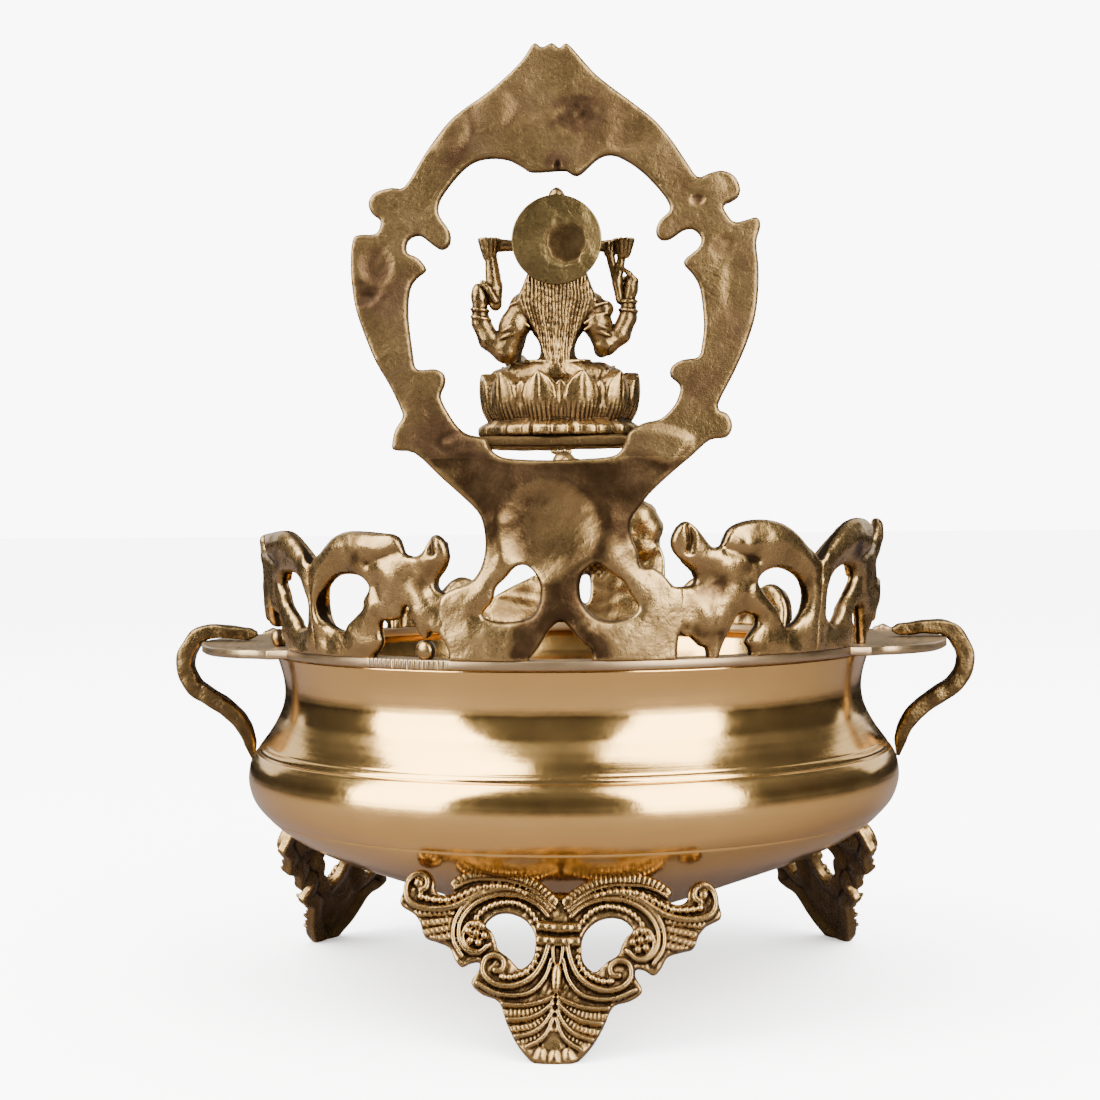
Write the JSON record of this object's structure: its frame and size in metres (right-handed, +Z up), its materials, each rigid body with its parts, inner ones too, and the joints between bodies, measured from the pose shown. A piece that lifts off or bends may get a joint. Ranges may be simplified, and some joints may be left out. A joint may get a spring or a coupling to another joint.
{
  "type": "urli bowl",
  "caption": "Brass urli bowl with a pierced scroll gallery, strap handles, cast feet and a seated deity on a lotus under a scrolled arch.",
  "frame": {"origin": "point on the surface that the feet stand on, on the bowl's axis and at the centre of the footprint", "axes": "+Z up, +Y towards the front, which the deity faces, +X to the deity's left"},
  "size_m": [0.2834, 0.2349, 0.305],
  "materials": {
    "turned_brass": "polished",
    "cast_brass": "satin",
    "antique_brass": "antique"
  },
  "bodies": {
    "root": {"bowl": "turned_brass", "rim_plate": "turned_brass", "handle_left": "cast_brass", "handle_right": "cast_brass", "foot_back": "antique_brass", "foot_front_left": "antique_brass", "foot_front_right": "antique_brass", "scroll_back_left": "cast_brass", "scroll_back_right": "cast_brass", "scroll_side_left_rear": "cast_brass", "scroll_side_right_rear": "cast_brass", "scroll_front_left": "cast_brass", "scroll_front_right": "cast_brass", "arch_bracket": "cast_brass", "arch_frame": "cast_brass", "figure_ledge": "cast_brass", "lotus_pedestal": "antique_brass", "deity_figure": "antique_brass", "halo_disc": "cast_brass", "front_peacock": "antique_brass"}
  },
  "joints": []
}
